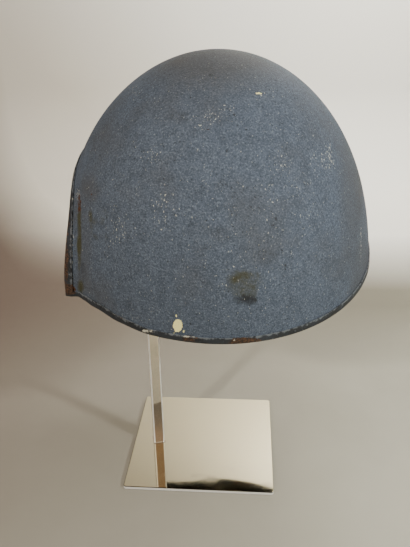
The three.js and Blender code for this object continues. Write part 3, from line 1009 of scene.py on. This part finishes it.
outline = []
half = PLATE_SIDE / 2 - PLATE_CORNER
for corner, (sx, sy) in enumerate(SQUARE):
    for k in range(CORNER_STEPS + 1):
        swing = math.pi / 2 * (corner + k / CORNER_STEPS)
        x = sx * half + PLATE_CORNER * math.cos(swing)
        y = sy * half + PLATE_CORNER * math.sin(swing)
        outline.append((x, y))
count = len(outline)
plate_points = [(x, y, z) for z in (0, PLATE_THICKNESS) for x, y in outline]
plate_faces = [tuple(reversed(range(count))), tuple(range(count, 2 * count))]
plate_faces += [(k, (k + 1) % count, (k + 1) % count + count, k + count) for k in range(count)]
plate = plain_object("plate", plate_points, plate_faces)
bevel = plate.modifiers.new("broken edge", "BEVEL")
bevel.width = PLATE_BEVEL
bevel.segments = 3
bevel.limit_method = "ANGLE"
bevel.angle_limit = math.radians(60)
plate = kept(plate, "base_plate_polished")
plate.data.materials.append(plate_steel)
plate.data.shade_smooth()
plate.data.set_sharp_from_angle(angle=math.radians(12))
upright_parts = [abs(face.normal.z) for face in plate.data.polygons]
# Painted highlight on the upright sides and painted dark reflection on the bevel faces.
for name, low, high in (("brushed_highlight", -1, 0.1), ("edge", 0.1, 0.95)):
    face_note = plate.data.attributes.new(name, "FLOAT", "FACE")
    face_note.data.foreach_set("value", [float(low < part < high) for part in upright_parts])
print("plate:", len(plate.data.polygons), "faces")

# %% [markdown]
# ## Bent bar
#
# One square bar rises from the plate, cranks over towards the helmet's middle and ends in
# a short upright stub. The bar is a section swept along a line, the classic use of Curve
# to Mesh. Its section is a square with filleted corners, and both sizes are inputs.

# %% Line of the bar
BAR_WIDTH = 12 * MM
BAR_EDGE = 1.5 * MM
BAR_FOOT = Vector((-52.5 * MM, -3 * MM, 0))
HEAD_MIDDLE = Vector((24 * MM, 19.4 * MM, 0))
BEND_RADIUS = 24 * MM
CRANK_SLOPE = math.radians(42)
STUB = 24 * MM
BEND_STEPS = 20

bar_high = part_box("stand_upright")[1]
reach = (HEAD_MIDDLE - BAR_FOOT).length
from_plumb = math.pi / 2 - CRANK_SLOPE
setback = BEND_RADIUS * math.tan(from_plumb / 2)
upper = bar_high.z - STUB
lower = upper - reach * math.tan(CRANK_SLOPE)
side_view = [(0, PLATE_THICKNESS)]
for k in range(BEND_STEPS + 1):
    swing = from_plumb * k / BEND_STEPS
    rise = BEND_RADIUS * math.sin(swing)
    side_view.append((BEND_RADIUS * (1 - math.cos(swing)), lower - setback + rise))
for k in range(BEND_STEPS, -1, -1):
    swing = from_plumb * k / BEND_STEPS
    rise = BEND_RADIUS * math.sin(swing)
    side_view.append((reach - BEND_RADIUS * (1 - math.cos(swing)), upper + setback - rise))
side_view.append((reach, bar_high.z))
bar_line = plain_object("bar line", [(across, 0, up) for across, up in side_view], [])
bar_line.data.edges.add(len(side_view) - 1)
for k, line_edge in enumerate(bar_line.data.edges):
    line_edge.vertices = (k, k + 1)

# %% Sweeping tree
BAR_SIZES = {"Width": BAR_WIDTH, "Edge radius": BAR_EDGE}
sweep, sizes = shape_tree("sweep the bar", BAR_SIZES)
line = place(sweep, "GeometryNodeMeshToCurve", [sizes["Geometry"]])
facing_side = place(sweep, "FunctionNodeInputVector", vector=(0, 1, 0))
line = place(
    sweep, "GeometryNodeSetCurveNormal", {"Curve": line, "Normal": facing_side}, mode="FREE"
)
inputs = {"Width": sizes["Width"], "Height": sizes["Width"]}
square = place(sweep, "GeometryNodeCurvePrimitiveQuadrilateral", inputs)
inputs = {"Curve": square, "Radius": sizes["Edge radius"], "Count": 12}
fillet = place(sweep, "GeometryNodeFilletCurve", inputs, mode="POLY")
inputs = {"Curve": line, "Profile Curve": fillet, "Fill Caps": True}
bar_mesh = place(sweep, "GeometryNodeCurveToMesh", inputs)
close_tree(sweep, bar_mesh, bar_steel)
bar = made_by(sweep, bar_line, "upright_swept", BAR_SIZES)
to_head = HEAD_MIDDLE - BAR_FOOT
bar_turn = Matrix.Rotation(math.atan2(to_head.y, to_head.x), 4, "Z")
bar.data.transform(Matrix.Translation(BAR_FOOT) @ bar_turn)
bar.data.shade_flat()
across_bar = Vector((-to_head.y, to_head.x, 0)).normalized()
sideways = [abs(face.normal.dot(across_bar)) for face in bar.data.polygons]
# Painted highlight: the rounded edges are marked for a near white tone.
brushed_highlight_note = bar.data.attributes.new("brushed_highlight", "FLOAT", "FACE")
brushed_highlight_note.data.foreach_set("value", [float(0.05 < part < 0.995) for part in sideways])
bar_points = points_of(bar.data)
print("bar:", len(bar.data.polygons), "faces")
print("bar box", (bar_points.min(0) / MM).round(1), (bar_points.max(0) / MM).round(1))

# %% [markdown]
# ## Weld bead at the bar's foot
#
# The bar is welded to the plate. A bead is a row of small overlapping drops, so the tree
# walks round the foot at even steps and sets one round drop of a random size at each.

# %% Bead tree
BEAD_SIZES = {"Step": 1.3 * MM, "Drop": 1.15 * MM}
ring_half = BAR_WIDTH / 2 - 0.2 * MM
foot_corners = [(sx * ring_half, sy * ring_half, 0) for sx, sy in SQUARE]
foot_ring = plain_object("foot ring", foot_corners, [])
foot_ring.data.edges.add(len(SQUARE))
for k, ring_edge_line in enumerate(foot_ring.data.edges):
    ring_edge_line.vertices = (k, (k + 1) % len(SQUARE))
weld, sizes = shape_tree("lay the weld", BEAD_SIZES)
walk = place(weld, "GeometryNodeMeshToCurve", [sizes["Geometry"]])
inputs = {"Curve": walk, "Length": sizes["Step"]}
stepped = place(weld, "GeometryNodeResampleCurve", inputs, mode="LENGTH")
drop_inputs = {"Radius": sizes["Drop"], "Subdivisions": 3}
drop = place(weld, "GeometryNodeMeshIcoSphere", drop_inputs)
inputs = {2: 0.75, 3: 1.1, "Seed": 5}
drop_size = place(weld, "FunctionNodeRandomValue", inputs, output=1, data_type="FLOAT")
inputs = {"Points": stepped, "Instance": drop, "Scale": drop_size}
drops = place(weld, "GeometryNodeInstanceOnPoints", inputs)
close_tree(weld, drops, bar_steel)
bead = made_by(weld, foot_ring, "weld_bead", BEAD_SIZES)
on_plate = BAR_FOOT + Vector((0, 0, PLATE_THICKNESS))
bead.data.transform(Matrix.Translation(on_plate) @ bar_turn)
bead.data.shade_smooth()
print("bead:", len(bead.data.polygons), "faces")

# %% [markdown]
# ## Head of the stand
#
# The photograph hides what the crown rests on. A plain round pad stands in for it: a
# turned disc whose top is fitted to the inside of the crown, with its edges eased.

# %% Turned head
HEAD_RADIUS = 30 * MM
HEAD_GAP = 0.3 * MM
HEAD_EASE = 0.8 * MM
HEAD_SPOKES = 96

head_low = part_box("stand_head")[0]
tree_of_shell = BVHTree.FromObject(shell, bpy.context.evaluated_depsgraph_get())


def ceiling(x, y):
    """The height of the crown's inner face above a point."""
    hit = tree_of_shell.ray_cast(Vector((x, y, head_low.z - 0.01)), Vector((0, 0, 1)))
    return hit[0].z


def on_ring(radius, k):
    """The place of one spoke of the head at a radius."""
    swing = 2 * math.pi * k / HEAD_SPOKES
    return HEAD_MIDDLE + radius * Vector((math.cos(swing), math.sin(swing), 0))


radii = [HEAD_RADIUS, HEAD_RADIUS - HEAD_EASE] + [HEAD_RADIUS * k / 8 for k in range(7, 0, -1)]
head_points, head_faces = [], []
for radius in (HEAD_RADIUS - HEAD_EASE, HEAD_RADIUS):
    lift = 0 if radius < HEAD_RADIUS else HEAD_EASE
    for k in range(HEAD_SPOKES):
        spot = on_ring(radius, k)
        head_points.append((spot.x, spot.y, head_low.z + lift))
for ring_index, radius in enumerate(radii):
    for k in range(HEAD_SPOKES):
        spot = on_ring(radius, k)
        eased = HEAD_EASE if ring_index == 0 else 0
        head_points.append((spot.x, spot.y, ceiling(spot.x, spot.y) - HEAD_GAP - eased))
top_middle = len(head_points)
head_points.append((*HEAD_MIDDLE.xy, ceiling(*HEAD_MIDDLE.xy) - HEAD_GAP))
ring_total = top_middle // HEAD_SPOKES
for r in range(ring_total - 1):
    for k in range(HEAD_SPOKES):
        a, b = r * HEAD_SPOKES + k, r * HEAD_SPOKES + (k + 1) % HEAD_SPOKES
        head_faces.append((a, b, b + HEAD_SPOKES, a + HEAD_SPOKES))
last_ring = (ring_total - 1) * HEAD_SPOKES
for k in range(HEAD_SPOKES):
    head_faces.append((last_ring + k, last_ring + (k + 1) % HEAD_SPOKES, top_middle))
head_faces.append(tuple(reversed(range(HEAD_SPOKES))))
head = plain_object("head_turned", head_points, head_faces)
head.data.materials.append(bar_steel)
head.data.shade_smooth()
head.data.set_sharp_from_angle(angle=math.radians(30))
print("head:", len(head.data.polygons), "faces")

# %% [markdown]
# ## Each piece stands for its solid
#
# Nothing moves, so every piece rides on the one body. Each piece says which solid it
# replaces and which slot of the record its finish belongs to.

# %% Riding
pieces = [
    (shell, "helmet_shell", "helmet_paint"),
    (band, "rim_band", "rim_paint"),
    (plate, "stand_base", "polished_steel"),
    (bar, "stand_upright", "polished_steel"),
    (head, "stand_head", "polished_steel"),
]
for piece, node, slot in pieces:
    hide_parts(node)
    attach(piece, "root")
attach(bead, "root")

# %% [markdown]
# ## Table and backdrop
#
# The stand is a mirror, so what surrounds it matters. A table runs back into a curved
# backdrop with no corner, which gives the plate an even warm grey to reflect. The paper
# carries painted shade: it is darker in a band before the backdrop, where the foot of the
# curve lies in shade, and darker and warmer towards the back left. The backdrop is pale,
# and darker and warmer towards its lower left. All of this follows the paper's own place.

# %% Sweep of the table
SWEEP_HALF = 2.2
SWEEP_FRONT = -1.6
SWEEP_BACK = 0.97
SWEEP_CURVE = 0.25
SWEEP_TOP = 2.0

side_line = [(SWEEP_FRONT, 0), (0, 0), (SWEEP_BACK, 0)]
for k in range(1, 25):
    swing = math.pi / 2 * k / 24
    side_line.append(
        (SWEEP_BACK + SWEEP_CURVE * math.sin(swing), SWEEP_CURVE * (1 - math.cos(swing)))
    )
side_line.append((SWEEP_BACK + SWEEP_CURVE, SWEEP_TOP))
floor_points = [(x, y, z) for y, z in side_line for x in (-SWEEP_HALF, SWEEP_HALF)]
floor_faces = [(2 * k, 2 * k + 1, 2 * k + 3, 2 * k + 2) for k in range(len(side_line) - 1)]
floor = plain_object("table_sweep", floor_points, floor_faces)
floor.data.shade_smooth()
paper_with_painted_shade, tree, shader = new_finish("paper_with_painted_shade")
paper = over(tree, colour("a19d8c"), colour("a8a493"), cut(tree, cloud(tree, 6, 3), 0.35, 0.65))
wide, deep, high = split(tree, place(tree, "ShaderNodeTexCoord", output="Object"))
# Painted shade: a darker band from the middle of the table back to the foot of the backdrop.
paper = over(tree, paper, colour("7f7a68"), cut(tree, deep, 0.16, 0.36))
# Painted shade: darker, warmer paper towards the back left.
back_left_shade = calc(tree, "SUBTRACT", wide, times(tree, deep, 0.35))
paper = over(tree, paper, colour("65564a"), cut(tree, back_left_shade, 0.2, -0.5))
climb = calc(tree, "ADD", wide, high)
wall = over(tree, colour("f1eee3"), colour("dad3c3"), cut(tree, climb, 0.3, -0.25))
slope = calc(tree, "ADD", deep, times(tree, wide, 1.45))
far = times(tree, cut(tree, deep, 0.42, 0.7), cut(tree, slope, -0.1, 0.25))
paper = over(tree, paper, wall, far)
tree.links.new(paper, shader.inputs["Base Color"])
tree.links.new(level(tree, 0.75, 0.85, cloud(tree, 60, 3)), shader.inputs["Roughness"])
floor.data.materials.append(paper_with_painted_shade)

# %% [markdown]
# ## Light
#
# Two small lamps stand low in front, right and left. The two shadows that the bar throws
# on the table say in which direction each stands, and the edge of the helmet's own shadow
# says how high. A broad lamp far on the left and one above soften the shadows, one lights
# the backdrop, and a low, warm surrounding light fills the rest.


# %% Lamps
def lamp(name, place_at, aim, size, power, tint):
    """A square soft light that looks at a point."""
    data = bpy.data.lights.new(name, "AREA")
    data.size = size
    data.energy = power
    data.color = tint
    made = bpy.data.objects.new(name, data)
    made.location = place_at
    made.rotation_euler = (Vector(aim) - Vector(place_at)).to_track_quat("-Z", "Y").to_euler()
    bpy.context.scene.collection.objects.link(made)


def from_foot(azimuth, away, height):
    """A place at an azimuth and a distance from the bar's foot, and a height."""
    swing = math.radians(azimuth)
    return BAR_FOOT + Vector((away * math.cos(swing), away * math.sin(swing), height))


lamp("lamp_right", from_foot(-31, 0.85, 0.57), (0, 0, 0.2), 0.05, 6.8, (0.97, 1, 1))
lamp("lamp_left", from_foot(-118.5, 1.4, 1.0), (0, 0, 0.15), 0.08, 16, (1, 0.97, 0.92))
lamp("lamp_far_left", (-1.2, -0.5, 0.9), (0, 0.05, 0.3), 0.8, 5, (1, 0.96, 0.9))
lamp("lamp_top", (0.2, 0, 1.9), (0, 0, 0.3), 1.2, 6, (1, 0.99, 0.97))
lamp("lamp_wall", (0.45, 0.8, 1.2), (0.33, 1.22, 0.5), 0.47, 21, (1, 1, 0.98))
world = bpy.data.worlds.new("room")
bpy.context.scene.world = world
world.use_nodes = True
room_light = world.node_tree.nodes["Background"]
room_light.inputs["Strength"].default_value = 0.72
room = world.node_tree
_, to_front, upwards = split(room, place(room, "ShaderNodeTexCoord", output="Generated"))
in_front = cut(room, to_front, -0.45, -0.7)
shade = times(room, cut(room, upwards, 0.45, 0.52), in_front)
room_tone = over(room, colour("897a6e"), colour("7a6a58"), shade)
glow = times(room, cut(room, upwards, 0.615, 0.635), in_front)
glow = times(room, cut(room, upwards, 0.76, 0.72), glow)
room_tone = over(room, room_tone, colour("dcb798"), glow)
room.links.new(room_tone, room_light.inputs["Color"])
